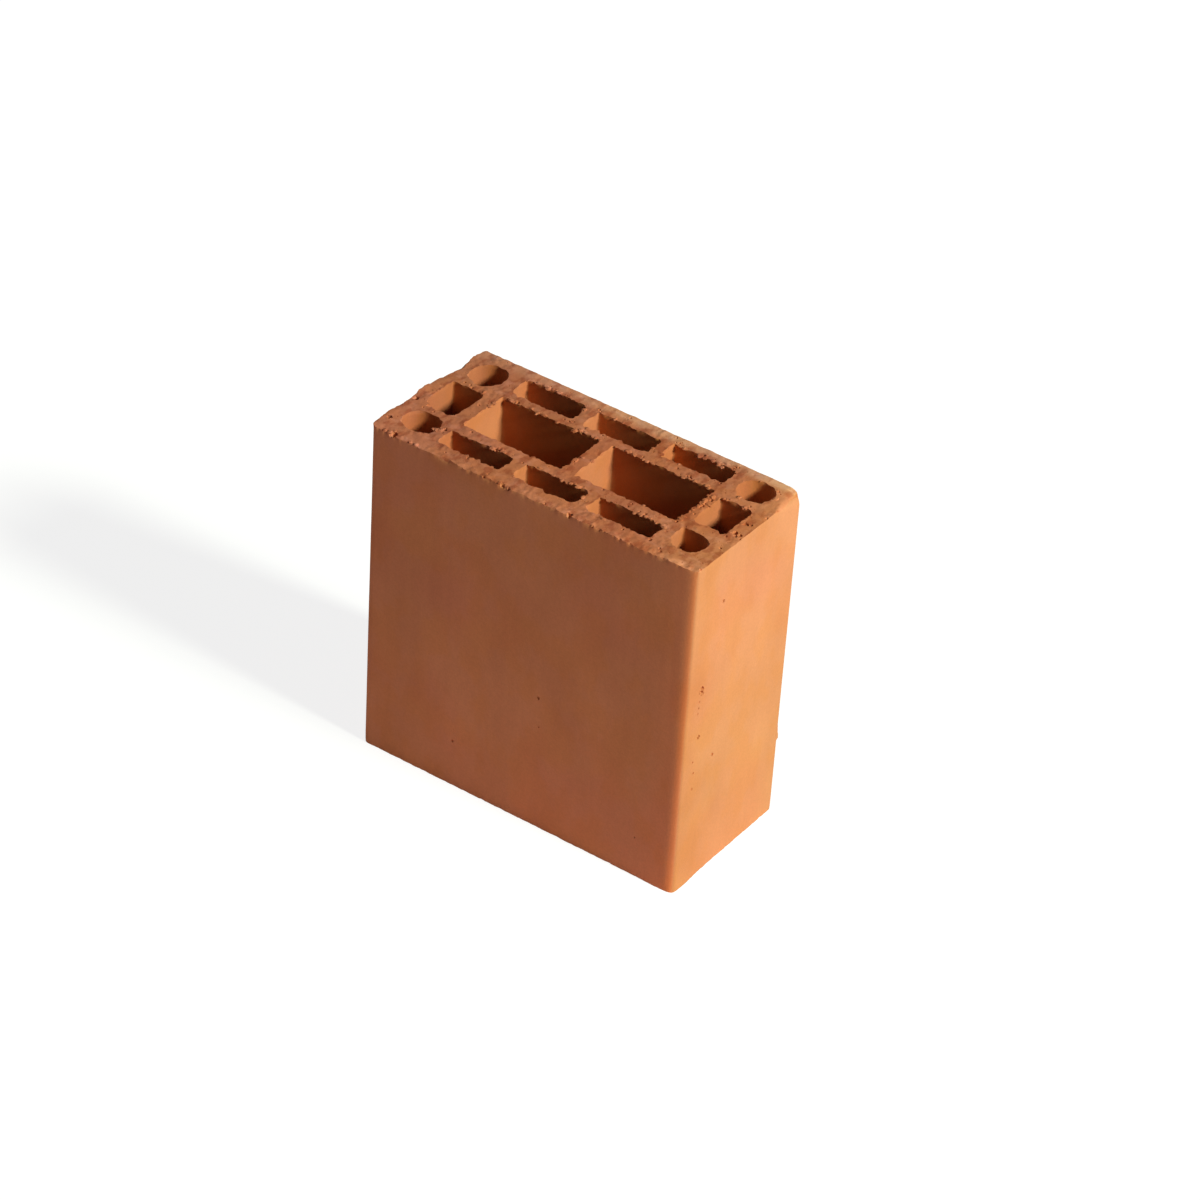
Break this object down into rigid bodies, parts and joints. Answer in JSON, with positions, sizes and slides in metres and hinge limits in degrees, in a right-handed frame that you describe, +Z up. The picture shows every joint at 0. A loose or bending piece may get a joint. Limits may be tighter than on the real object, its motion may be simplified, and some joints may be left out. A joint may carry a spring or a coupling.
{
  "type": "perforated clay brick",
  "caption": "Hollow fired-clay block, standing on a cut end: large cells in the middle, slots along both sides, and round and squarish holes at the ends, all open top and bottom.",
  "frame": {"origin": "centre of the cut end that the block stands on", "axes": "+Z up along the holes, +X along the length of the section, +Y across its width"},
  "size_m": [0.19, 0.09, 0.19],
  "materials": {
    "fired_clay": "matte"
  },
  "bodies": {
    "root": {"clay_block": "fired_clay"}
  },
  "joints": []
}
